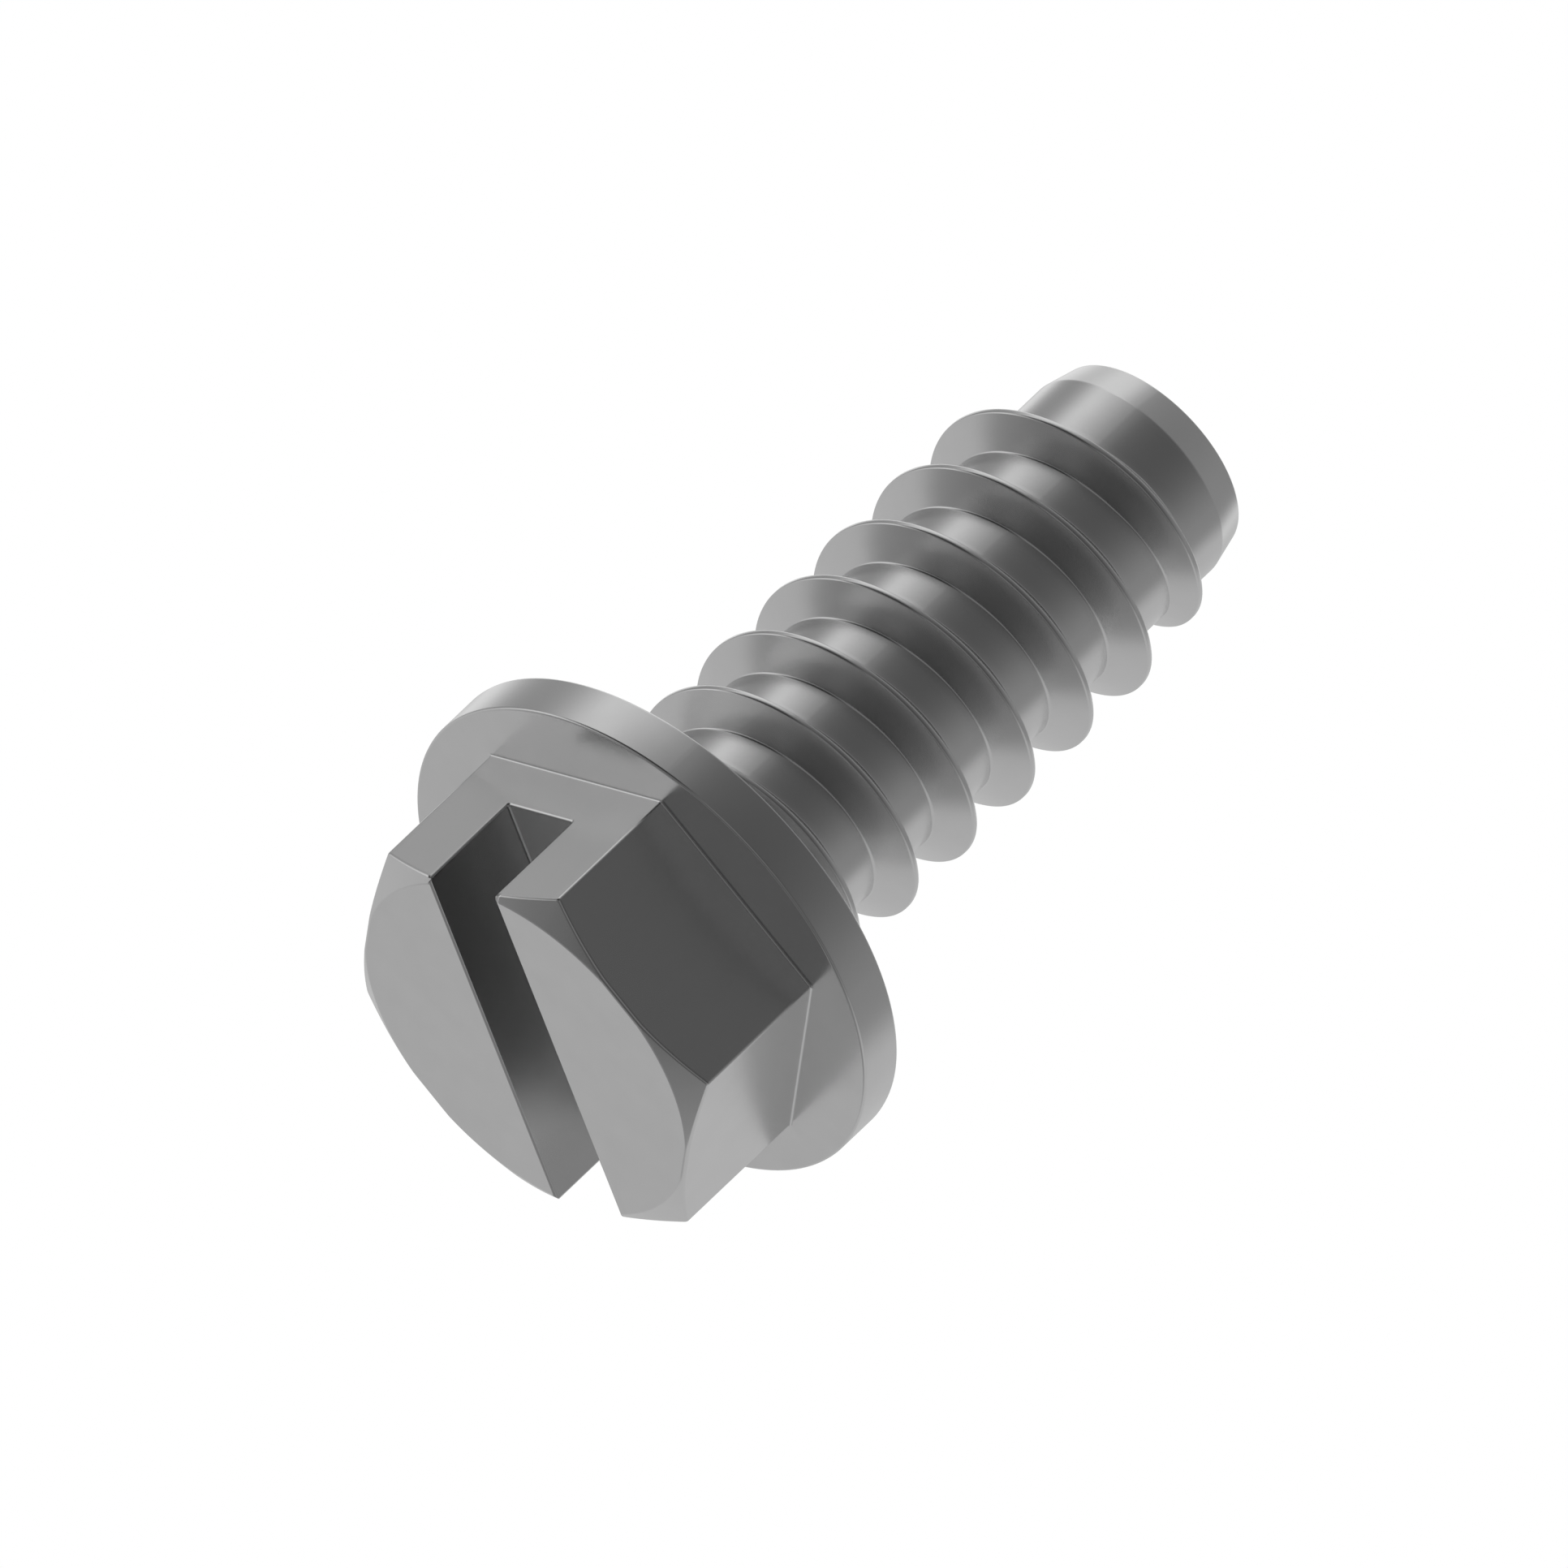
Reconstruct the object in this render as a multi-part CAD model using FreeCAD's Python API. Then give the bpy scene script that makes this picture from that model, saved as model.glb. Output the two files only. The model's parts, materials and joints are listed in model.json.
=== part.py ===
import FreeCAD, Part
import math
import os

# Slotted hex washer head screw for sheet metal: one piece of steel wire, cold headed and thread rolled.
# It stands on its head. The head's end face lies in the XY plane, centred on the origin, and +Z runs
# along the screw to its tip. The slot runs along X. Lengths are millimetres and angles are degrees.

# Hexagon
across_flats = 8.12
hex_height = 3.56
chamfer_angle = 30.0
chamfer_land = 0.03

# Screwdriver slot
slot_width = 1.76
slot_depth = 2.45

# Washer flange
flange_diameter = 11.3
flange_thickness = 1.02
rim_round = 0.06

# Shank, measured from the flange's bearing face
shank_length = 14.7
root_diameter = 4.86
tip_diameter = 4.52
tip_length = 0.73
plain_length = 0.45

# Spaced thread, right hand and single start
thread_diameter = 6.24
thread_pitch = 1.8
crest_width = 0.12
flank_angle = 30.0
exit_angle = 97.0
runout_turns = 0.62

# The thread is rolled up out of the core. Its ridge is modelled with its foot this far inside the core.
foot_depth = 0.1
points_per_turn = 24

# Heights and radii that follow from the sizes above
bearing_height = hex_height + flange_thickness
screw_length = bearing_height + shank_length
tip_start = screw_length - tip_length
core_radius = root_diameter / 2
foot_radius = core_radius - foot_depth
flange_radius = flange_diameter / 2
flank_slope = math.tan(math.radians(flank_angle))

# Turns are counted from the place where the middle of the crest leaves the bearing face
full_turns = (tip_start - plain_length - bearing_height) / thread_pitch - runout_turns
foot_half_width = crest_width / 2 + (thread_diameter / 2 - foot_radius) * flank_slope
buried_turns = 1.1 * foot_half_width / thread_pitch


def line(start, end):
    """Straight edge between two points of the turned profile, each a radius and a height."""
    return Part.makeLine(FreeCAD.Vector(start[0], 0, start[1]), FreeCAD.Vector(end[0], 0, end[1]))


def arc(start, middle, end):
    """Round edge through three points of the turned profile, each a radius and a height."""
    return Part.Arc(*[FreeCAD.Vector(radius, 0, height) for radius, height in (start, middle, end)]).toShape()


def flange_and_core():
    """Washer flange, root cylinder and tapered tip, turned as one profile about the Z axis."""
    inner = flange_radius - rim_round
    bend = rim_round * (1 - math.sqrt(0.5))
    middle = flange_radius - bend
    upper = hex_height + rim_round
    lower = bearing_height - rim_round
    edges = [
        line((0, hex_height), (inner, hex_height)),
        arc((inner, hex_height), (middle, hex_height + bend), (flange_radius, upper)),
        line((flange_radius, upper), (flange_radius, lower)),
        arc((flange_radius, lower), (middle, bearing_height - bend), (inner, bearing_height)),
        line((inner, bearing_height), (core_radius, bearing_height)),
        line((core_radius, bearing_height), (core_radius, tip_start)),
        line((core_radius, tip_start), (tip_diameter / 2, screw_length)),
        line((tip_diameter / 2, screw_length), (0, screw_length)),
        line((0, screw_length), (0, hex_height)),
    ]
    profile = Part.Face(Part.Wire(edges))
    return profile.revolve(FreeCAD.Vector(0, 0, 0), FreeCAD.Vector(0, 0, 1), 360)


def hexagon():
    """Six flats, two of them square to the slot, sunk halfway into the flange that they stand on."""
    corner_radius = across_flats / 2 / math.cos(math.pi / 6)
    angles = [math.radians(30 + 60 * corner) for corner in range(7)]
    corners = [
        FreeCAD.Vector(corner_radius * math.cos(angle), corner_radius * math.sin(angle), 0)
        for angle in angles
    ]
    prism = Part.Face(Part.makePolygon(corners)).extrude(
        FreeCAD.Vector(0, 0, hex_height + flange_thickness / 2)
    )
    return prism.common(chamfer_cone())


def chamfer_cone():
    """Cone that takes the hexagon's corners down, and only just reaches the middle of each flat."""
    end_radius = across_flats / 2 - chamfer_land
    growth = bearing_height / math.tan(math.radians(chamfer_angle))
    return Part.makeCone(end_radius, end_radius + growth, bearing_height)


def slot():
    """Flat-bottomed screwdriver slot, open at both flats."""
    box = Part.makeBox(2 * across_flats, slot_width, 2 * slot_depth)
    box.translate(FreeCAD.Vector(-across_flats, -slot_width / 2, -slot_depth))
    return box


def crest_radius(turns):
    """Radius of the crest: full, and past the full thread sinking evenly until it is in the core."""
    past_full = max(0.0, turns - full_turns)
    whole_drop = thread_diameter / 2 - (core_radius - foot_depth / 2)
    return thread_diameter / 2 - whole_drop * past_full / runout_turns


def ridge_point(turns, on_crest, side):
    """Point of the ridge on its crest or foot, on the side of the head (-1) or of the tip (+1)."""
    radius = crest_radius(turns) if on_crest else foot_radius
    half_width = crest_width / 2 + (crest_radius(turns) - radius) * flank_slope
    angle = math.radians(exit_angle) + 2 * math.pi * turns
    height = bearing_height + thread_pitch * turns + side * half_width
    return FreeCAD.Vector(radius * math.cos(angle), radius * math.sin(angle), height)


def ridge_edge(start, end, on_crest, side):
    """Helical edge of the ridge between two numbers of turns."""
    spans = max(4, math.ceil(points_per_turn * (end - start)))
    turns = [start + (end - start) * step / spans for step in range(spans + 1)]
    curve = Part.BSplineCurve()
    curve.interpolate([ridge_point(value, on_crest, side) for value in turns])
    return curve.toShape()


def ridge_cap(turns):
    """Flat end of the ridge, across its section."""
    corners = [(True, -1), (True, 1), (False, 1), (False, -1), (True, -1)]
    points = [ridge_point(turns, on_crest, side) for on_crest, side in corners]
    return Part.Face(Part.makePolygon(points))


def thread():
    """Ridge of the spaced thread, a turn at a time, from inside the flange to the end of its run-out."""
    breaks = [-buried_turns]
    while breaks[-1] + 1.25 < full_turns:
        breaks.append(breaks[-1] + 1)
    breaks += [full_turns, full_turns + runout_turns]
    faces = [ridge_cap(breaks[0]), ridge_cap(breaks[-1])]
    for start, end in zip(breaks, breaks[1:]):
        corners = [(True, -1), (True, 1), (False, 1), (False, -1)]
        edges = [ridge_edge(start, end, on_crest, side) for on_crest, side in corners]
        for edge, following in zip(edges, edges[1:] + edges[:1]):
            faces.append(Part.makeRuledSurface(edge, following))
    shell = Part.makeShell(faces)
    shell.sewShape()
    ridge = Part.makeSolid(shell)
    if ridge.Volume < 0:
        ridge.reverse()
    return ridge


def screw():
    """The whole screw as one solid."""
    head = flange_and_core().fuse(hexagon()).removeSplitter().cut(slot())
    return head.fuse(thread())


os.makedirs("parts", exist_ok=True)
model = screw()
model.exportStep("parts/screw.step")
print("screw:", len(model.Solids), "solid,", round(model.Volume, 2), "mm3, valid", model.isValid())
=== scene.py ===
"""Looks of a slotted hex washer head screw for sheet metal.

The screw stands on its head on a pale floor. It is one piece of steel, so its looks are one closed surface,
worked out in radius and height round its axis and then cut by its slot. Sizes are millimetres until a mesh
is finished. The overall sizes and the places of the mounts come from the frame.
"""

import json
import logging
import math
from dataclasses import dataclass, field
from enum import Enum
from typing import Any

import bmesh
import bpy
import numpy as np
from mathutils import Matrix, Vector


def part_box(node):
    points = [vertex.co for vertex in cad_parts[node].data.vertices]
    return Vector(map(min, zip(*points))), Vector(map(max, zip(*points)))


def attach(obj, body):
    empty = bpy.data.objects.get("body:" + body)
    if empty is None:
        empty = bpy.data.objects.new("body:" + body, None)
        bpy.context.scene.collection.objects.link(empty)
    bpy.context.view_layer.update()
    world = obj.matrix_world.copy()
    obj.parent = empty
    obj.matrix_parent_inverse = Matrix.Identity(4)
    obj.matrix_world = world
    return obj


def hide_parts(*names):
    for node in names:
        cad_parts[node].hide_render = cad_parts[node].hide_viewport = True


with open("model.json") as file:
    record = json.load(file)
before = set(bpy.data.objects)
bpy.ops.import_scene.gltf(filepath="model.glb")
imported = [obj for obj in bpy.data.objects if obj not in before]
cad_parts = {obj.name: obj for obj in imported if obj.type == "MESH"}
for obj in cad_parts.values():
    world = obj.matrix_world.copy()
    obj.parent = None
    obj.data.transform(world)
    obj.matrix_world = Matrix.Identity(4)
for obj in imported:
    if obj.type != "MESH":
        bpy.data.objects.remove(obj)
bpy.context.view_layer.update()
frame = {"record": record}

LOG = logging.getLogger("screw")
MM = 0.001
NODE = "screw"
BODY = "root"
MERGE_DISTANCE_MM = 1e-4
SIXTH = math.pi / 3


def mount(name: str) -> dict[str, Any]:
    """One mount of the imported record.

    Args:
        name: The mount's name.

    Returns:
        The mount as the record holds it.
    """
    return next(entry for entry in frame["record"]["mounts"] if entry["name"] == name)


def linear(colour: str) -> tuple[float, float, float, float]:
    """Linear colour for an sRGB hex value, with an alpha of 1.

    Args:
        colour: A hash sign and six hex digits.

    Returns:
        Red, green, blue and alpha.
    """
    shares = [int(colour[place : place + 2], 16) / 255 for place in (1, 3, 5)]
    red, green, blue = [
        share / 12.92 if share <= 0.04045 else ((share + 0.055) / 1.055) ** 2.4 for share in shares
    ]
    return red, green, blue, 1.0


def add_node(
    tree: bpy.types.NodeTree, kind: str, inputs: dict[Any, Any] | None = None, **settings: Any
) -> bpy.types.Node:
    """Adds a node with its settings, its values and the links into it.

    Args:
        tree: The node tree of a material or a world.
        kind: The node's type name.
        inputs: For each input, by name or number, a value or the output socket that feeds it.
        settings: Values for the node's own properties.

    Returns:
        The new node.
    """
    node = tree.nodes.new(kind)
    for name, value in settings.items():
        setattr(node, name, value)
    for name, value in (inputs or {}).items():
        if isinstance(value, bpy.types.NodeSocket):
            tree.links.new(value, node.inputs[name])
        else:
            node.inputs[name].default_value = value
    return node


def arc(centre: np.ndarray, radius: float, start: float, end: float, spans: int) -> np.ndarray:
    """Points of arcs in the plane of radius and height.

    Each point is its centre plus the radius times (cos a, sin a), with a going evenly from start to end.

    Args:
        centre: The arcs' centres, an array whose last axis is radius and height.
        radius: The arcs' radius.
        start: Angle of the first points in degrees, where 0 points outwards and 90 towards the tip.
        end: Angle of the last points in degrees.
        spans: Number of steps from the first points to the last.

    Returns:
        The points, with a new first axis along the arcs.
    """
    angles = np.radians(np.linspace(start, end, spans + 1))
    offsets = radius * np.stack([np.cos(angles), np.sin(angles)], axis=-1)
    return centre[None] + offsets.reshape(spans + 1, *[1] * (centre.ndim - 1), 2)


def ring(theta: np.ndarray, radius: np.ndarray | float, height: np.ndarray | float) -> np.ndarray:
    """One row of points round the axis.

    Args:
        theta: Angles of the columns.
        radius: Radius at each column, or one for all.
        height: Height at each column, or one for all.

    Returns:
        Array of columns by (radius, height).
    """
    return np.stack([np.zeros_like(theta) + radius, np.zeros_like(theta) + height], axis=-1)


def mesh_object(name: str, points: np.ndarray, faces: list[list[int]]) -> bpy.types.Object:
    """Object of a new mesh, linked into the scene.

    Args:
        name: The object's name.
        points: Array of points by (x, y, z).
        faces: Lists of point numbers.

    Returns:
        The object.
    """
    mesh = bpy.data.meshes.new(name)
    mesh.from_pydata(points.tolist(), [], faces)
    thing = bpy.data.objects.new(name, mesh)
    bpy.context.scene.collection.objects.link(thing)
    return thing


def close_up(mesh: bpy.types.Mesh) -> None:
    """Merges the points that lie on each other, and turns every face outwards.

    Args:
        mesh: A mesh in millimetres, whose surface closes once its doubles are merged.
    """
    work = bmesh.new()
    work.from_mesh(mesh)
    bmesh.ops.remove_doubles(work, verts=work.verts, dist=MERGE_DISTANCE_MM)
    bmesh.ops.recalc_face_normals(work, faces=work.faces)
    work.to_mesh(mesh)
    work.free()


class Marks(Enum):
    """Which way the fine marks of a surface's making run."""

    ROUND = "round the axis"
    ALONG_SLOT = "along the slot"
    NONE = "no direction"


@dataclass(frozen=True)
class ZincOnSteel:
    """Bright zinc plating on formed steel.

    The plating is thin and follows the steel under it. It gives the eye an even, slightly soft metal
    gloss, with a faint haze and the faint marks that the tools left in the steel. Such marks lie about
    0.02 mm apart, which is too fine to show, so they are drawn coarser, at the mark spacing.
    """

    name: str
    marks: Marks
    colour: str = "#CECECE"
    hazed_colour: str = "#C8C8C8"
    roughness: float = 0.22
    haze_roughness: float = 0.26
    haze_size: float = 0.9
    haze_octaves: float = 4.0
    haze_decay: float = 0.6
    mark_spacing: float = 0.09
    mark_length: float = 2.5
    mark_height: float = 0.0001
    mark_octaves: float = 2.0

    def mark_places(self, tree: bpy.types.NodeTree, place: bpy.types.NodeSocket) -> bpy.types.NodeSocket:
        """Coordinates in which the marks are as long as they are wide.

        Marks round the axis are told apart by radius and height, those along the slot by Y and Z, and the
        third coordinate runs slowly along them.

        Args:
            tree: The material's node tree.
            place: Object coordinates.

        Returns:
            The output socket of the coordinates.
        """
        fine = 1 / (self.mark_spacing * MM)
        slow = 1 / (self.mark_length * MM)
        if self.marks is not Marks.ROUND:
            scale = (slow if self.marks is Marks.ALONG_SLOT else fine, fine, fine)
            node = add_node(tree, "ShaderNodeVectorMath", {0: place, 1: scale}, operation="MULTIPLY")
            return node.outputs["Vector"]
        split = add_node(tree, "ShaderNodeSeparateXYZ", {0: place})
        across = add_node(tree, "ShaderNodeCombineXYZ", {"X": split.outputs["X"], "Y": split.outputs["Y"]})
        radius = add_node(tree, "ShaderNodeVectorMath", {0: across.outputs[0]}, operation="LENGTH")
        joined = add_node(
            tree,
            "ShaderNodeCombineXYZ",
            {"X": split.outputs["X"], "Y": radius.outputs["Value"], "Z": split.outputs["Z"]},
        )
        scaled = add_node(
            tree,
            "ShaderNodeVectorMath",
            {0: joined.outputs[0], 1: (slow, fine, fine)},
            operation="MULTIPLY",
        )
        return scaled.outputs["Vector"]

    def material(self) -> bpy.types.Material:
        """The finish as a material.

        Returns:
            A node material on Object coordinates.
        """
        material = bpy.data.materials.new(self.name)
        material.use_nodes = True
        tree = material.node_tree
        tree.nodes.clear()
        place = add_node(tree, "ShaderNodeTexCoord").outputs["Object"]
        haze = add_node(
            tree,
            "ShaderNodeTexNoise",
            {
                "Vector": place,
                "Scale": 1 / (self.haze_size * MM),
                "Detail": self.haze_octaves,
                "Roughness": self.haze_decay,
            },
        ).outputs["Fac"]
        colour = add_node(
            tree,
            "ShaderNodeMix",
            {"Factor": haze, "A": linear(self.colour), "B": linear(self.hazed_colour)},
            data_type="RGBA",
        )
        gloss = add_node(
            tree,
            "ShaderNodeMapRange",
            {"Value": haze, "To Min": self.roughness, "To Max": self.haze_roughness},
        )
        lines = add_node(
            tree,
            "ShaderNodeTexNoise",
            {"Vector": self.mark_places(tree, place), "Scale": 1.0, "Detail": self.mark_octaves},
        )
        bump = add_node(
            tree,
            "ShaderNodeBump",
            {"Height": lines.outputs["Fac"], "Distance": self.mark_height * MM, "Strength": 1.0},
        )
        shader = add_node(
            tree,
            "ShaderNodeBsdfPrincipled",
            {
                "Base Color": colour.outputs["Result"],
                "Metallic": 1.0,
                "Roughness": gloss.outputs["Result"],
                "Normal": bump.outputs["Normal"],
            },
        )
        add_node(tree, "ShaderNodeOutputMaterial", {"Surface": shader.outputs["BSDF"]})
        return material


@dataclass
class Head:
    """Hexagon, chamfer and washer flange, from the middle of the end face to the bearing face."""

    across_flats: float = 8.12
    hex_height: float = 3.56
    chamfer_angle: float = 30.0
    chamfer_land: float = 0.03
    edge_round: float = 0.09
    foot_round: float = 0.06
    rim_round: float = 0.06
    edge_spans: int = 4
    chamfer_spans: int = 2
    round_spans: int = 3
    face_share: float = 0.8
    flange_radius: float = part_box(NODE)[1].x / MM
    bearing_height: float = mount("bearing_face")["pos_m"][2] / MM

    @property
    def apothem(self) -> float:
        """Distance from the axis to a flat."""
        return self.across_flats / 2

    @property
    def corner_half_angle(self) -> float:
        """Angle seen from the axis between a corner's middle and the end of its rounding."""
        reach = (self.apothem - self.edge_round) * math.tan(SIXTH / 2)
        return SIXTH / 2 - math.atan2(reach, self.apothem)

    def columns(self, even: int, spans: int) -> np.ndarray:
        """Angles of the grid's columns: even ones, and more of them across each rounded corner.

        Args:
            even: Number of even columns, a multiple of 12 so that each corner has one.
            spans: Steps from a corner's middle to the end of its rounding.

        Returns:
            Sorted angles from 0 to under a whole turn.
        """
        steps = self.corner_half_angle * np.arange(1, spans + 1) / spans
        corners = SIXTH * (np.arange(6) + 0.5)
        extra = corners[:, None] + np.concatenate([-steps, steps])[None]
        return np.sort(np.concatenate([2 * math.pi * np.arange(even) / even, extra.ravel()]))

    def hexagon(self, theta: np.ndarray) -> np.ndarray:
        """Radius of the hexagon with rounded corners.

        On a flat it is the apothem over the cosine of the angle from the flat's middle. In a corner it is
        the far root of the rounding circle's equation, along a line from the axis.

        Args:
            theta: Angles of the columns.

        Returns:
            Radii, one for each column.
        """
        from_corner = np.abs(theta % SIXTH - SIXTH / 2)
        from_flat = SIXTH / 2 - from_corner
        centre = (self.apothem - self.edge_round) / math.cos(SIXTH / 2)
        under_root = self.edge_round**2 - (centre * np.sin(from_corner)) ** 2
        rounded = centre * np.cos(from_corner) + np.sqrt(np.maximum(under_root, 0.0))
        straight = self.apothem / np.cos(from_flat)
        return np.where(from_corner < self.corner_half_angle, rounded, straight)

    def end_rows(self, theta: np.ndarray) -> np.ndarray:
        """Rows from the edge of the end face over the chamfer to the top of the flats.

        Each column's section is end face, chamfer cone and flat, drawn in by the edge rounding, with that
        rounding laid back on along a normal that turns evenly at each of its two corners.

        Args:
            theta: Angles of the columns.

        Returns:
            Array of rows by columns by (radius, height).
        """
        slope = math.tan(math.radians(self.chamfer_angle))
        drawn_in = self.edge_round * math.tan(math.radians(self.chamfer_angle / 2))
        wall = self.hexagon(theta) - self.edge_round
        top = np.minimum(self.apothem - self.chamfer_land - drawn_in, wall)
        upper = ring(theta, top, self.edge_round)
        lower = ring(theta, wall, self.edge_round + (wall - top) * slope)
        cone = self.chamfer_angle - 90
        return np.concatenate(
            [
                arc(upper, self.edge_round, -90, cone, self.chamfer_spans),
                arc(lower, self.edge_round, cone, 0, self.edge_spans),
            ]
        )

    def flange_rows(self, theta: np.ndarray) -> np.ndarray:
        """Rows from the foot of the flats over the flange's rim to the bearing face.

        The last row lies on the bearing face, at its share of the rim's radius.

        Args:
            theta: Angles of the columns.

        Returns:
            Array of rows by columns by (radius, height).
        """
        wall = self.hexagon(theta) + self.foot_round
        rim = self.flange_radius - self.rim_round
        foot = ring(theta, wall, self.hex_height - self.foot_round)
        upper = ring(theta, rim, self.hex_height + self.rim_round)
        lower = ring(theta, rim, self.bearing_height - self.rim_round)
        return np.concatenate(
            [
                arc(foot, self.foot_round, 180, 90, self.round_spans),
                ring(theta, (wall + rim) / 2, self.hex_height)[None],
                arc(upper, self.rim_round, -90, 0, self.round_spans),
                arc(lower, self.rim_round, 0, 90, self.round_spans),
                ring(theta, rim * self.face_share, self.bearing_height)[None],
            ]
        )


@dataclass
class Thread:
    """Rolled spaced thread: a right-hand ridge of single start on a round core, with its run-out."""

    pitch: float = 1.8
    core_radius: float = 2.43
    crest_width: float = 0.12
    flank_angle: float = 30.0
    exit_angle: float = 97.0
    runout_turns: float = 0.62
    runout_sink: float = 0.05
    crest_round: float = 0.05
    root_round: float = 0.07
    crest_spans: int = 2
    root_spans: int = 3
    valley_spans: int = 3
    spare_turns: int = 2
    crest_radius: float = mount("thread")["dims"]["r_mm"]
    full_length: float = mount("thread")["dims"]["length_mm"]

    @property
    def depth(self) -> float:
        """Height of the full ridge above the core."""
        return self.crest_radius - self.core_radius

    def half_section(self) -> np.ndarray:
        """Section of half the ridge, from the middle of its crest to the foot of its fillet.

        It is the crest's flat, a rounded edge, the straight flank and a hollow fillet.

        Returns:
            Array of points by (distance along the axis from the crest's middle, height over the core).
        """
        lean = math.radians(self.flank_angle)
        turn = 90 - self.flank_angle
        half_crest = self.crest_width / 2
        foot = half_crest + self.depth * math.tan(lean)
        reach = math.tan(math.radians(turn / 2))
        crest_centre = np.array([half_crest - self.crest_round * reach, self.depth - self.crest_round])
        root_centre = np.array([foot + self.root_round * reach, self.root_round])
        crest = arc(crest_centre, self.crest_round, 90, 90 - turn, self.crest_spans)
        root = arc(root_centre, self.root_round, 270 - turn, 270, self.root_spans)
        middle = (crest[-1] + root[0]) / 2
        return np.concatenate([[[0.0, self.depth]], crest, middle[None], root])

    def section(self) -> tuple[np.ndarray, np.ndarray]:
        """Section of one pitch, from the middle of a valley over the ridge to the middle of the next.

        Returns:
            Distances along the axis from the crest's middle, and heights over the core.
        """
        half = self.half_section()
        valley = np.linspace(half[-1, 0], self.pitch / 2, self.valley_spans + 1)[1:]
        half = np.concatenate([half, np.stack([valley, np.zeros_like(valley)], axis=-1)])
        places = np.concatenate([-half[:0:-1, 0], half[:, 0]])
        return places, np.concatenate([half[:0:-1, 1], half[:, 1]])

    def fullness(self, turns: np.ndarray) -> np.ndarray:
        """Share of the full depth: 1 along the full thread, and then falling evenly along the run-out.

        Args:
            turns: Places along the thread, in turns from where it leaves the bearing face.

        Returns:
            Shares from 0 to 1.
        """
        past = np.maximum(turns - self.full_length / self.pitch, 0.0)
        drop = (self.depth + self.runout_sink) * past / self.runout_turns
        return np.clip(1.0 - drop / self.depth, 0.0, 1.0)

    def exit_radius(self, theta: np.ndarray) -> np.ndarray:
        """Radius of the thread where it leaves the bearing face.

        The section is read there at each column's distance from the crest, which climbs a pitch a turn.

        Args:
            theta: Angles of the columns.

        Returns:
            Radii, one for each column.
        """
        places, heights = self.section()
        crest = self.pitch * (theta - math.radians(self.exit_angle)) / (2 * math.pi)
        from_crest = (self.pitch / 2 - crest) % self.pitch - self.pitch / 2
        return self.core_radius + np.interp(from_crest, places, heights)

    def rows(self, theta: np.ndarray, length: float) -> tuple[np.ndarray, int]:
        """Helical rows of the thread, held between the bearing face and the end of the core.

        A row is one point of the section carried up the axis by a pitch a turn. Along the run-out the
        section's heights, and the widths of its ridge beyond the crest's flat, shrink by the fullness, and
        the valley widens to make up for them. Spare turns below and above fill both ends.

        Args:
            theta: Angles of the columns.
            length: Height over the bearing face at which the rows stop.

        Returns:
            Array of rows by columns by (radius, height over the bearing face), and the rows in a pitch.
        """
        places, heights = (values[:-1, None] for values in self.section())
        flat = self.crest_width / 2
        foot = self.half_section()[-1, 0]
        outer = self.pitch / 2 - foot
        last = math.ceil(length / self.pitch) + self.spare_turns
        ridges = np.arange(-self.spare_turns, last)[:, None, None]
        turns = ridges + (theta - math.radians(self.exit_angle)) / (2 * math.pi)
        share = self.fullness(turns)
        on_flank = np.clip(np.abs(places), flat, foot) - flat
        in_valley = np.clip(np.abs(places) - foot, 0.0, None) / outer
        widened = self.pitch / 2 - flat - (foot - flat) * share
        reach = np.minimum(np.abs(places), flat) + on_flank * share + in_valley * widened
        height = (self.pitch * turns + np.sign(places) * reach).reshape(-1, len(theta))
        radius = (self.core_radius + heights * share).reshape(-1, len(theta))
        radius = np.where(height < 0, self.exit_radius(theta), radius)
        radius = np.where(height > length, self.core_radius, radius)
        return np.stack([radius, np.clip(height, 0.0, length)], axis=-1), len(places)


@dataclass
class Tip:
    """Blunt tapered tip, with a flat end."""

    core_radius: float
    end_radius: float = 2.26
    length: float = 0.73
    shoulder_round: float = 0.2
    end_round: float = 0.06
    shoulder_spans: int = 2
    end_spans: int = 4
    screw_length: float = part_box(NODE)[1].z / MM

    @property
    def lean(self) -> float:
        """Angle between the taper and the axis, in degrees."""
        return math.degrees(math.atan2(self.core_radius - self.end_radius, self.length))

    @property
    def start(self) -> float:
        """Height at which the rounding of the shoulder begins."""
        reach = self.shoulder_round * math.tan(math.radians(self.lean / 2))
        return self.screw_length - self.length - reach

    def rows(self, theta: np.ndarray) -> np.ndarray:
        """Rows from the shoulder over the taper to the edge of the end.

        Args:
            theta: Angles of the columns.

        Returns:
            Array of rows by columns by (radius, height).
        """
        lean = math.radians(self.lean)
        drawn_in = self.end_round * (1 - math.sin(lean)) / math.cos(lean)
        shoulder = ring(theta, self.core_radius - self.shoulder_round, self.start)
        end = ring(theta, self.end_radius - drawn_in, self.screw_length - self.end_round)
        return np.concatenate(
            [
                arc(shoulder, self.shoulder_round, 0, self.lean, self.shoulder_spans),
                arc(end, self.end_round, self.lean, 90, self.end_spans),
            ]
        )


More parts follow.
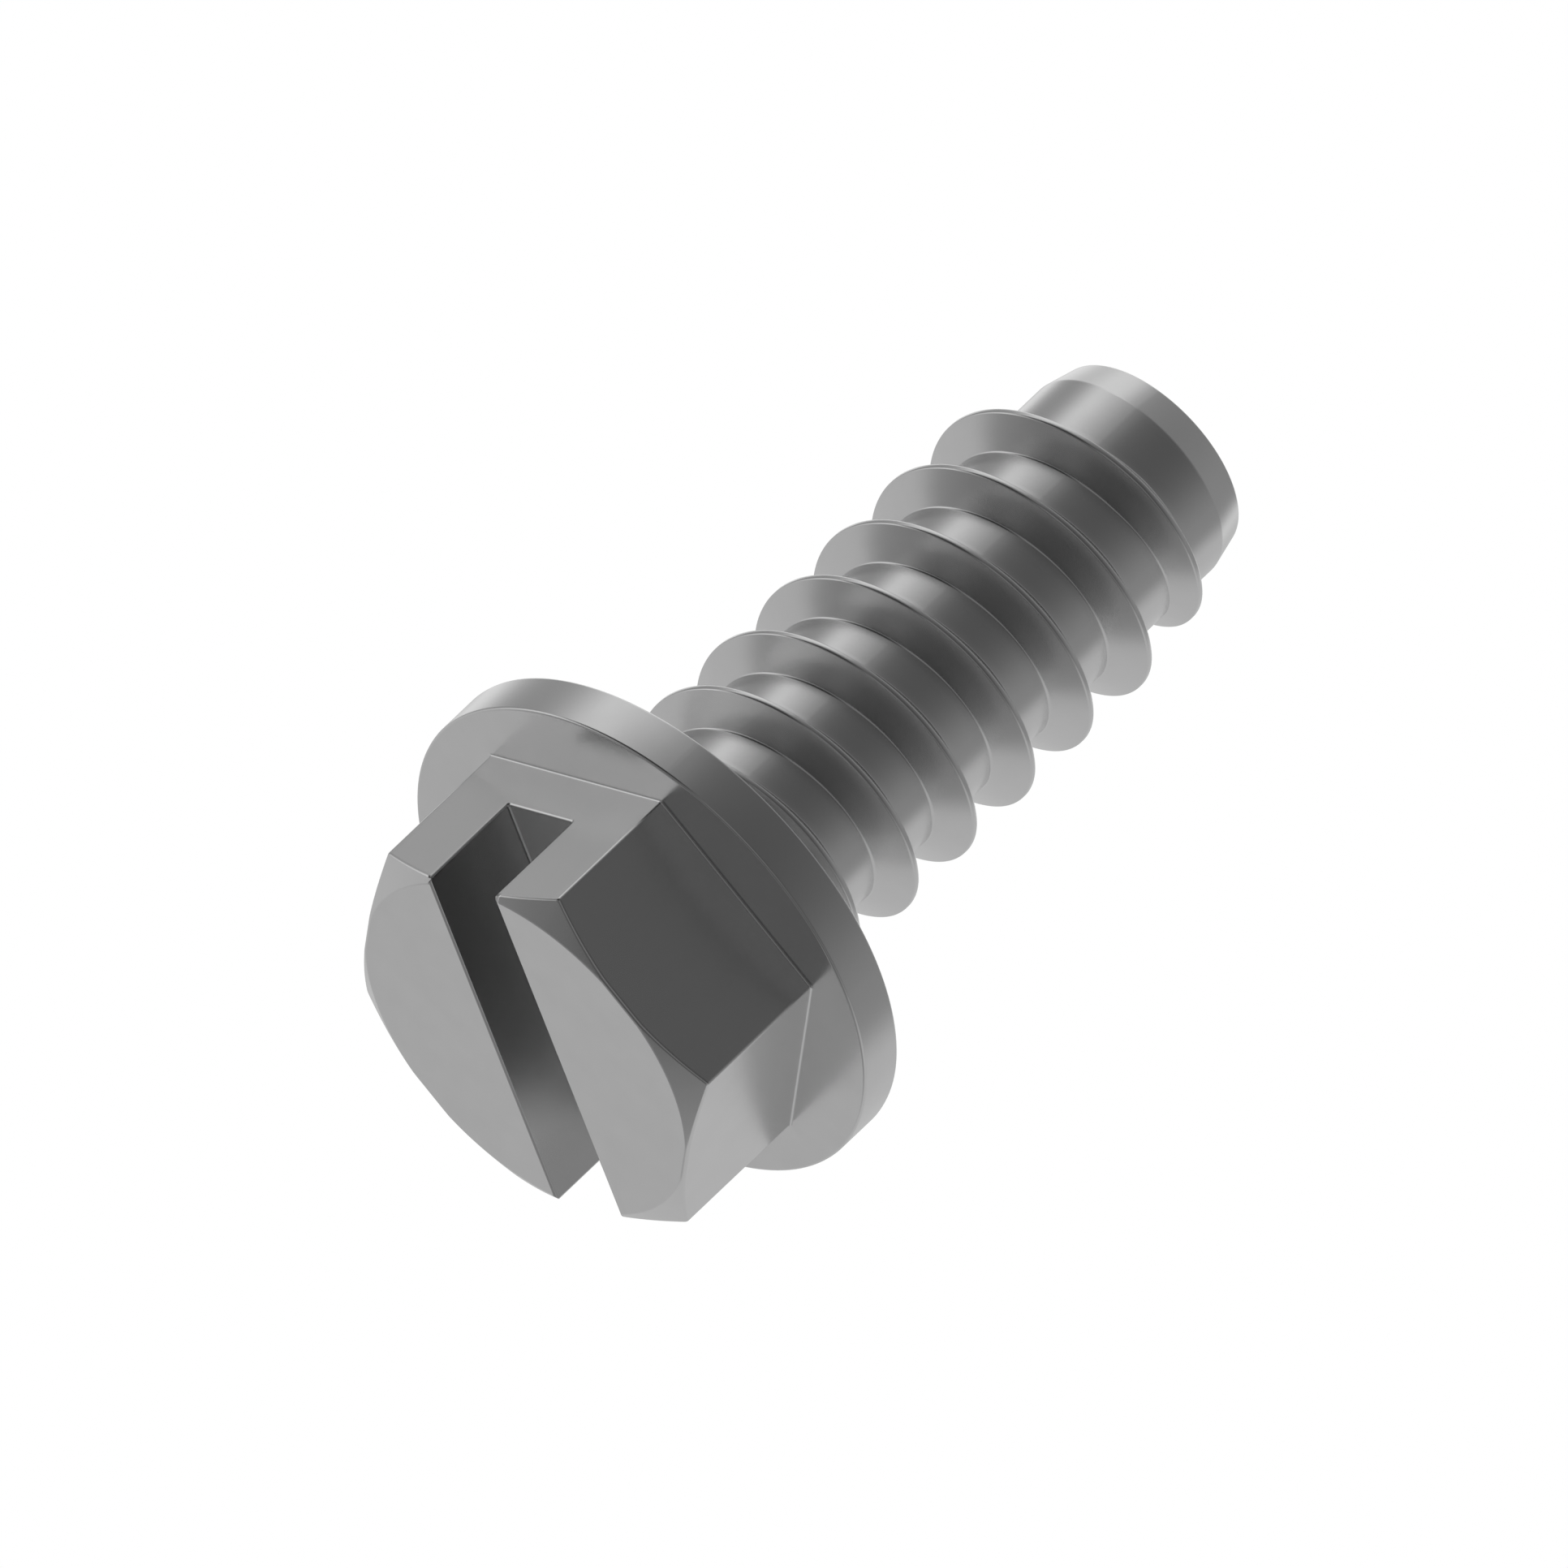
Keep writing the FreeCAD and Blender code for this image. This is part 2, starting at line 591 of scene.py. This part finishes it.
@dataclass
class Slot:
    """Screwdriver slot with a flat floor, open at both ends, with rounded lips."""

    half_length: float
    width: float = 1.76
    depth: float = mount("slot")["pos_m"][2] / MM
    lip_round: float = 0.06
    floor_round: float = 0.07
    lip_spans: int = 3
    floor_spans: int = 3
    steepest: float = 75.0
    overshoot: float = 0.15

    def lip(self) -> tuple[np.ndarray, np.ndarray]:
        """How far the slot widens near a face that it opens through.

        The lip is an arc from along the wall to the steepest angle, and then a straight line out of the
        metal.

        Returns:
            Distances inside the face, from the one outside inwards, and the widening at each.
        """
        angles = np.radians(self.steepest * np.arange(self.lip_spans, -1, -1) / self.lip_spans)
        inside = self.lip_round * (1 - np.sin(angles))
        growth = self.lip_round * (1 - np.cos(angles))
        beyond = growth[0] + (inside[0] + self.overshoot) * math.tan(angles[0])
        return np.append(-self.overshoot, inside), np.append(beyond, growth)

    def cutter(self) -> bpy.types.Object:
        """Body of the slot, to be cut out of the head.

        Its section is lip, wall, fillet and floor, and their mirror image. The section is carried along X
        and grows by the lip's widening near both ends.

        Returns:
            A closed object, which reaches out of the metal at its lips.
        """
        inside, growth = self.lip()
        corner = np.array([self.width / 2 - self.floor_round, self.depth - self.floor_round])
        fillet = arc(corner, self.floor_round, 0, 90, self.floor_spans)
        side = np.concatenate([np.stack([self.width / 2 + growth, inside], axis=-1), fillet])
        sinks = np.append(np.zeros(len(inside)), np.ones(len(fillet)))
        across = np.concatenate([side[:, 0], -side[::-1, 0]])
        height = np.concatenate([side[:, 1], side[::-1, 1]])
        sinks = np.concatenate([sinks, sinks[::-1]])
        stations = np.concatenate([inside - self.half_length, (self.half_length - inside)[::-1]])
        grown = np.concatenate([growth, growth[::-1]])
        shape = (len(stations), len(across))
        points = np.stack(
            [
                np.broadcast_to(stations[:, None], shape),
                across + np.sign(across) * grown[:, None],
                height + sinks * grown[:, None],
            ],
            axis=-1,
        )
        index = np.arange(points[..., 0].size).reshape(shape)
        around = np.concatenate([index, index[:, :1]], axis=1)
        faces = grid_faces(around) + [index[0].tolist(), index[-1].tolist()]
        thing = mesh_object("slot_cutter", points.reshape(-1, 3), faces)
        close_up(thing.data)
        return thing


def grid_faces(index: np.ndarray) -> list[list[int]]:
    """Four-sided faces between neighbouring rows and columns of a grid.

    Args:
        index: Point numbers by row and column, where a closed grid has its first column again at the end.

    Returns:
        Lists of point numbers, wound so that a grid of rising rows and turning columns faces outwards.
    """
    corners = [index[:-1, :-1], index[:-1, 1:], index[1:, 1:], index[1:, :-1]]
    return np.stack(corners, axis=-1).reshape(-1, 4).tolist()


@dataclass
class Screw:
    """The whole screw: one closed surface in three finishes."""

    head: Head = field(default_factory=Head)
    thread: Thread = field(default_factory=Thread)
    even_columns: int = 180
    corner_spans: int = 3
    sharp_angle: float = 60.0
    headed: ZincOnSteel = ZincOnSteel("zinc_on_headed_steel", Marks.NONE)
    rolled: ZincOnSteel = ZincOnSteel("zinc_on_rolled_steel", Marks.ROUND)
    slotted: ZincOnSteel = ZincOnSteel("zinc_on_slotted_steel", Marks.ALONG_SLOT)
    tip: Tip = field(init=False)
    slot: Slot = field(init=False)

    def __post_init__(self) -> None:
        """Makes the tip and the slot to fit the core and the hexagon."""
        self.tip = Tip(core_radius=self.thread.core_radius)
        self.slot = Slot(half_length=self.head.apothem)

    def blank(self) -> bpy.types.Object:
        """The screw before it is slotted.

        Rows of points run from the head's end to the tip's end, in columns round the axis. A plain row
        closes on itself, and a helical row closes on the one a pitch further up. Each end is one flat face
        inside the first or the last row.

        Returns:
            A closed object in millimetres.
        """
        theta = self.head.columns(self.even_columns, self.corner_spans)
        before = np.concatenate([self.head.end_rows(theta), self.head.flange_rows(theta)])
        helical, in_pitch = self.thread.rows(theta, self.tip.start - self.head.bearing_height)
        helical[..., 1] += self.head.bearing_height
        rows = np.concatenate([before, helical, self.tip.rows(theta)])
        first, last = len(before), len(before) + len(helical) - 1
        closing = np.arange(len(rows))
        closing[first : last + 1] = np.minimum(closing[first : last + 1] + in_pitch, last)
        index = np.arange(rows[..., 0].size).reshape(rows.shape[:2])
        around = np.concatenate([index, index[closing, :1]], axis=1)
        faces = grid_faces(around) + [index[0, ::-1].tolist(), index[-1].tolist()]
        radius, height = rows[..., 0], rows[..., 1]
        points = np.stack([radius * np.cos(theta), radius * np.sin(theta), height], axis=-1)
        thing = mesh_object(f"{NODE}_surface", points.reshape(-1, 3), faces)
        close_up(thing.data)
        return thing

    def cut_and_smooth(self, thing: bpy.types.Object) -> None:
        """Cuts the slot out of the head, and makes the surface look smooth with its flats still flat.

        The larger a face, the more it counts in the shading of its corners. That is worked out in
        millimetres, because in metres the faces are too small for it. The corner between the bearing
        face and the thread turns by more than the sharp angle, and is the one that stays sharp.

        Args:
            thing: The screw's object in millimetres, whose mesh is replaced.
        """
        cutter = self.slot.cutter()
        thing.data.shade_smooth()
        thing.data.set_sharp_from_angle(angle=math.radians(self.sharp_angle))
        cutter.data.shade_smooth()
        cut = thing.modifiers.new("slot", "BOOLEAN")
        cut.operation = "DIFFERENCE"
        cut.solver = "EXACT"
        cut.object = cutter
        weighted = thing.modifiers.new("flats stay flat", "WEIGHTED_NORMAL")
        weighted.mode = "FACE_AREA"
        weighted.keep_sharp = True
        whole = thing.data
        evaluated = thing.evaluated_get(bpy.context.evaluated_depsgraph_get())
        thing.data = bpy.data.meshes.new_from_object(evaluated)
        thing.modifiers.clear()
        bpy.data.meshes.remove(whole)
        bpy.data.meshes.remove(cutter.data)

    def dress(self, thing: bpy.types.Object) -> None:
        """Gives each face the finish of its making: rolled past the bearing face, slotted, or headed.

        Args:
            thing: The screw's object, in millimetres.
        """
        mesh = thing.data
        mesh.materials.clear()
        for finish in (self.headed, self.rolled, self.slotted):
            mesh.materials.append(finish.material())
        centres = np.zeros(len(mesh.polygons) * 3)
        mesh.polygons.foreach_get("center", centres)
        across, height = np.abs(centres.reshape(-1, 3)[:, 1]), centres.reshape(-1, 3)[:, 2]
        in_slot = (height < self.slot.depth + self.slot.lip_round) & (height > self.slot.lip_round / 2)
        in_slot &= across < self.slot.width / 2 + self.slot.lip_round
        zone = np.where(height > self.head.bearing_height, 1, np.where(in_slot, 2, 0))
        mesh.polygons.foreach_set("material_index", zone.astype(np.int32))

    def build(self) -> bpy.types.Object:
        """Builds, cuts and dresses the screw, and hands it to the frame.

        Returns:
            The finished object, in metres.
        """
        thing = self.blank()
        self.cut_and_smooth(thing)
        self.dress(thing)
        thing.data.transform(Matrix.Scale(MM, 4))
        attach(thing, BODY)
        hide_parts(NODE)
        return thing


@dataclass(frozen=True)
class Curtain:
    """Dark curtain with a soft edge, which bright metal needs round it to show its form.

    Angles are degrees seen from the screw. The curtain is even from its middle out to its reach, and then
    thins out smoothly over its fade.
    """

    azimuth: float
    elevation: float
    darkness: float
    reach: float
    fade: float

    @property
    def direction(self) -> tuple[float, float, float]:
        """Unit vector towards the curtain's middle."""
        turn, rise = math.radians(self.azimuth), math.radians(self.elevation)
        return math.cos(rise) * math.cos(turn), math.cos(rise) * math.sin(turn), math.sin(rise)

    @property
    def edge(self) -> tuple[float, float]:
        """Cosines to the curtain's middle where there is nothing of it, and where it is whole."""
        return math.cos(math.radians(self.reach + self.fade)), math.cos(math.radians(self.reach))


@dataclass
class Studio:
    """Camera, floor, lamp, white surroundings and the dark curtains that the metal mirrors."""

    camera_azimuth: float = 50.9
    camera_elevation: float = -29.43
    axis_slant: float = 43.49
    frame_width: float = 30.594
    aim_right: float = 5.048
    aim_up: float = 5.177
    camera_distance: float = 80.0
    floor_radius: float = 90.0
    floor_solid: float = 0.3
    floor_gap: float = 0.01
    floor_corners: int = 96
    floor_colour: str = "#EFEFEF"
    lamp_place: tuple[float, float, float] = (-180.0, 60.0, 420.0)
    lamp_width: float = 260.0
    lamp_power: float = 1.1
    room_strength: float = 0.5
    room_radius: float = 2000.0
    room_subdivisions: int = 4
    curtains: tuple[Curtain, ...] = (
        Curtain(azimuth=55, elevation=-25, darkness=0.75, reach=40, fade=55),
        Curtain(azimuth=-65, elevation=15, darkness=0.65, reach=10, fade=25),
        Curtain(azimuth=175, elevation=-85, darkness=0.5, reach=45, fade=10),
        Curtain(azimuth=85, elevation=45, darkness=0.65, reach=50, fade=20),
        Curtain(azimuth=-155, elevation=-35, darkness=0.35, reach=70, fade=10),
        Curtain(azimuth=-5, elevation=-5, darkness=0.9, reach=20, fade=20),
    )

    def camera(self) -> None:
        """Parallel-view camera that looks up at the head's end from beside and below it.

        Its right and up are turned about its line of sight until the screw's axis slants as in the
        picture.
        """
        turn, rise = math.radians(self.camera_azimuth), math.radians(self.camera_elevation)
        back = Vector((math.cos(rise) * math.cos(turn), math.cos(rise) * math.sin(turn), math.sin(rise)))
        axis = (Vector((0, 0, 1)) - back * back.z).normalized()
        beside = back.cross(axis)
        slant = math.radians(self.axis_slant)
        right = axis * math.cos(slant) - beside * math.sin(slant)
        up = axis * math.sin(slant) + beside * math.cos(slant)
        data = bpy.data.cameras.new("camera")
        data.type = "ORTHO"
        data.ortho_scale = self.frame_width * MM
        data.clip_start = MM
        thing = bpy.data.objects.new("camera", data)
        place = (right * self.aim_right + up * self.aim_up + back * self.camera_distance) * MM
        thing.matrix_world = Matrix.Translation(place) @ Matrix((right, up, back)).transposed().to_4x4()
        bpy.context.scene.collection.objects.link(thing)
        bpy.context.scene.camera = thing

    def world(self) -> None:
        """White to the camera and in mirrors and glass, and a soft grey light everywhere else."""
        world = bpy.data.worlds.new("white_room")
        world.use_nodes = True
        tree = world.node_tree
        tree.nodes.clear()
        path = add_node(tree, "ShaderNodeLightPath")
        seen = path.outputs["Is Camera Ray"]
        for name in ("Is Glossy Ray", "Is Transmission Ray"):
            inputs = {0: seen, 1: path.outputs[name]}
            seen = add_node(tree, "ShaderNodeMath", inputs, operation="MAXIMUM").outputs[0]
        strength = add_node(
            tree,
            "ShaderNodeMapRange",
            {"Value": seen, "To Min": self.room_strength, "To Max": 1.0},
        )
        light = add_node(
            tree,
            "ShaderNodeBackground",
            {"Color": linear("#FFFFFF"), "Strength": strength.outputs["Result"]},
        )
        add_node(tree, "ShaderNodeOutputWorld", {"Surface": light.outputs[0]})
        bpy.context.scene.world = world

    def curtain_material(self) -> bpy.types.Material:
        """Cloth of the curtains: see-through where there is none, and black where it is thick.

        In each direction what comes through is the product, over the curtains, of one less the darkness
        there, which is a smooth step of the cosine to the curtain's middle.

        Returns:
            The material of the room round the set.
        """
        material = bpy.data.materials.new("black_curtain_cloth")
        material.use_nodes = True
        tree = material.node_tree
        tree.nodes.clear()
        place = add_node(tree, "ShaderNodeTexCoord").outputs["Object"]
        toward = add_node(tree, "ShaderNodeVectorMath", {0: place}, operation="NORMALIZE").outputs[0]
        through = 1.0
        for curtain in self.curtains:
            cosine = add_node(
                tree, "ShaderNodeVectorMath", {0: toward, 1: curtain.direction}, operation="DOT_PRODUCT"
            )
            outside, inside = curtain.edge
            gap = add_node(
                tree,
                "ShaderNodeMapRange",
                {
                    "Value": cosine.outputs["Value"],
                    "From Min": outside,
                    "From Max": inside,
                    "To Min": 1.0,
                    "To Max": 1.0 - curtain.darkness,
                },
                interpolation_type="SMOOTHSTEP",
            )
            inputs = {0: gap.outputs["Result"], 1: through}
            through = add_node(tree, "ShaderNodeMath", inputs, operation="MULTIPLY").outputs[0]
        clear = add_node(tree, "ShaderNodeBsdfTransparent", {"Color": through})
        add_node(tree, "ShaderNodeOutputMaterial", {"Surface": clear.outputs[0]})
        return material

    def hang_curtains(self) -> None:
        """Room-sized ball of curtain cloth that only mirrors see."""
        mesh = bpy.data.meshes.new("curtains")
        work = bmesh.new()
        radius = self.room_radius * MM
        bmesh.ops.create_icosphere(work, subdivisions=self.room_subdivisions, radius=radius)
        work.to_mesh(mesh)
        work.free()
        mesh.materials.append(self.curtain_material())
        thing = bpy.data.objects.new("curtains", mesh)
        bpy.context.scene.collection.objects.link(thing)
        thing.visible_camera = False
        thing.visible_diffuse = False
        thing.visible_transmission = False
        thing.visible_shadow = False

    def floor_material(self) -> bpy.types.Material:
        """Matt paper: pale from above, see-through from below, and fading out towards its edge.

        Returns:
            The floor's material.
        """
        material = bpy.data.materials.new("matt_white_paper")
        material.use_nodes = True
        tree = material.node_tree
        tree.nodes.clear()
        place = add_node(tree, "ShaderNodeTexCoord").outputs["Object"]
        out = add_node(tree, "ShaderNodeVectorMath", {0: place}, operation="LENGTH")
        fade = add_node(
            tree,
            "ShaderNodeMapRange",
            {
                "Value": out.outputs["Value"],
                "From Min": self.floor_radius * self.floor_solid * MM,
                "From Max": self.floor_radius * MM,
            },
            interpolation_type="SMOOTHSTEP",
        )
        below = add_node(tree, "ShaderNodeNewGeometry").outputs["Backfacing"]
        inputs = {0: fade.outputs["Result"], 1: below}
        unseen = add_node(tree, "ShaderNodeMath", inputs, operation="MAXIMUM")
        paper = add_node(tree, "ShaderNodeBsdfDiffuse", {"Color": linear(self.floor_colour)})
        clear = add_node(tree, "ShaderNodeBsdfTransparent")
        inputs = {0: unseen.outputs[0], 1: paper.outputs[0], 2: clear.outputs[0]}
        mixed = add_node(tree, "ShaderNodeMixShader", inputs)
        add_node(tree, "ShaderNodeOutputMaterial", {"Surface": mixed.outputs[0]})
        return material

    def lay_floor(self) -> None:
        """Round sheet of paper just under the head, seen by the camera alone."""
        turns = 2 * math.pi * np.arange(self.floor_corners) / self.floor_corners
        rim = np.stack([np.cos(turns), np.sin(turns), np.zeros_like(turns)], axis=-1)
        points = rim * self.floor_radius * MM - np.array([0, 0, self.floor_gap * MM])
        thing = mesh_object("floor", points, [list(range(len(points)))])
        thing.data.materials.append(self.floor_material())
        thing.visible_diffuse = False
        thing.visible_glossy = False
        thing.visible_transmission = False
        thing.visible_shadow = False

    def hang_lamp(self) -> None:
        """Wide soft lamp overhead, for the shadow on the floor. Metal shows the white room instead."""
        data = bpy.data.lights.new("soft_lamp", "AREA")
        data.size = self.lamp_width * MM
        data.energy = self.lamp_power
        thing = bpy.data.objects.new("soft_lamp", data)
        place = Vector(self.lamp_place) * MM
        thing.matrix_world = Matrix.Translation(place) @ place.to_track_quat("Z", "Y").to_matrix().to_4x4()
        thing.visible_glossy = False
        bpy.context.scene.collection.objects.link(thing)

    def build(self) -> None:
        """Sets up everything round the screw, the camera first."""
        self.camera()
        self.world()
        self.hang_curtains()
        self.lay_floor()
        self.hang_lamp()
        bpy.context.scene.view_settings.view_transform = "Standard"


def main() -> None:
    """Builds the studio and the screw, and reports the piece."""
    logging.basicConfig(level=logging.INFO, format="%(name)s: %(message)s")
    Studio().build()
    screw = Screw().build()
    triangles = sum(len(face.vertices) - 2 for face in screw.data.polygons)
    LOG.info("%s: one closed surface of %d triangles", screw.name, triangles)


if __name__ == "__main__":
    main()
